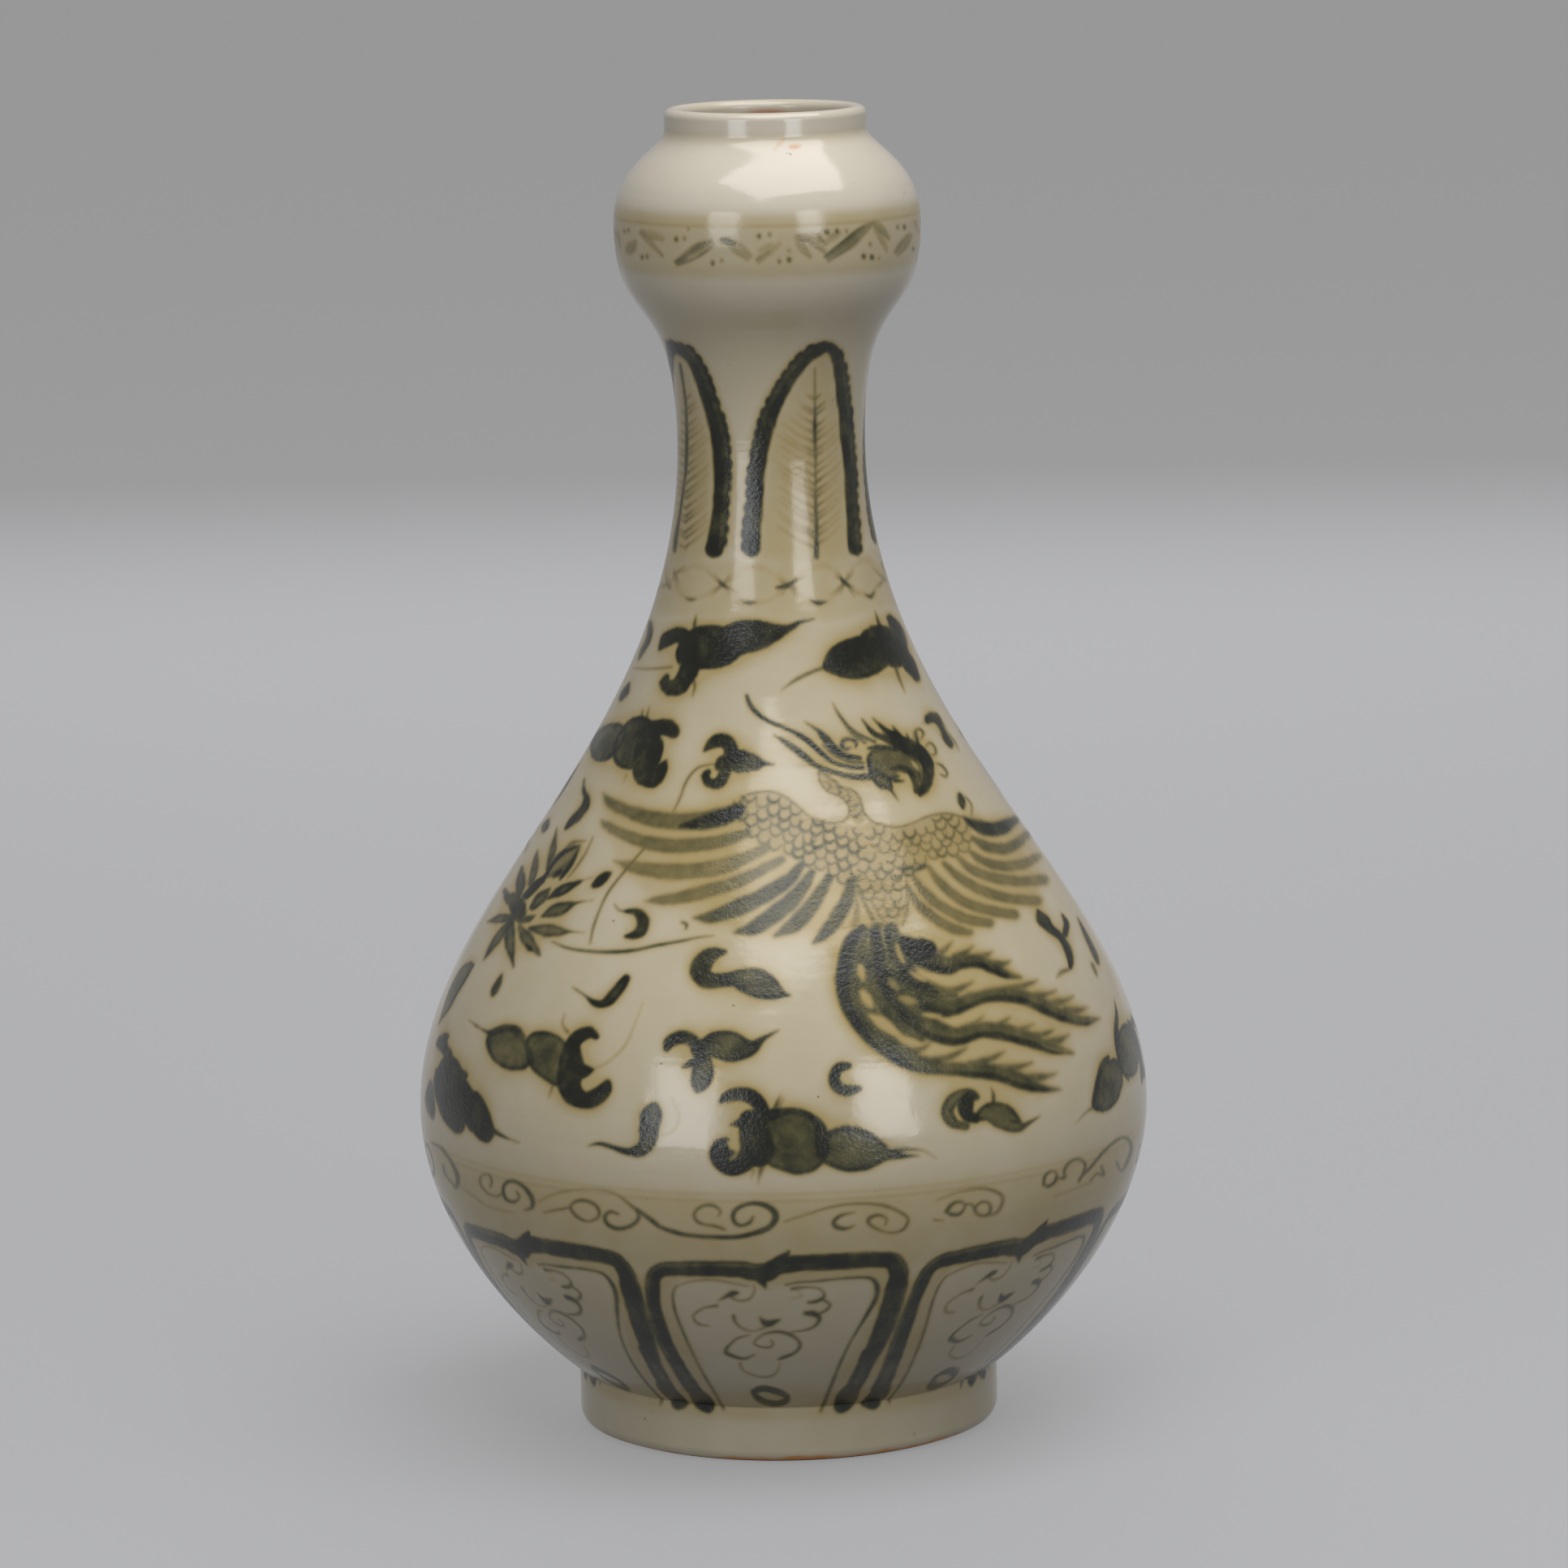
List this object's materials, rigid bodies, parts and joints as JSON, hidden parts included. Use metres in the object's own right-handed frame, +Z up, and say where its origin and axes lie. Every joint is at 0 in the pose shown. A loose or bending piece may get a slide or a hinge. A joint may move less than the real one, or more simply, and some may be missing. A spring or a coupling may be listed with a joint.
{
  "type": "garlic head vase",
  "caption": "Glazed stoneware bottle vase with a round belly on a ring foot, a slender neck and a garlic bulb mouth with a short collar; holds water and flower stems.",
  "frame": {"origin": "centre of the foot's resting plane, on the vase's axis", "axes": "+Z up along the axis of the vase; the painted front faces -Y; +X to the right of that front"},
  "size_m": [0.1714, 0.1714, 0.31],
  "materials": {
    "stoneware": "matte biscuit",
    "slip": "matte",
    "outer_glaze": "gloss",
    "inner_glaze": "gloss"
  },
  "bodies": {
    "root": {"foot_ring": "stoneware", "foot_slip": "slip", "lower_belly": "stoneware", "belly_slip": "slip", "upper_belly": "stoneware", "neck_slip": "slip", "neck": "stoneware", "bulb_slip": "slip", "garlic_bulb": "stoneware", "collar_slip": "slip", "mouth_collar": "stoneware", "outer_glaze": "outer_glaze", "inner_glaze": "inner_glaze"}
  },
  "joints": []
}
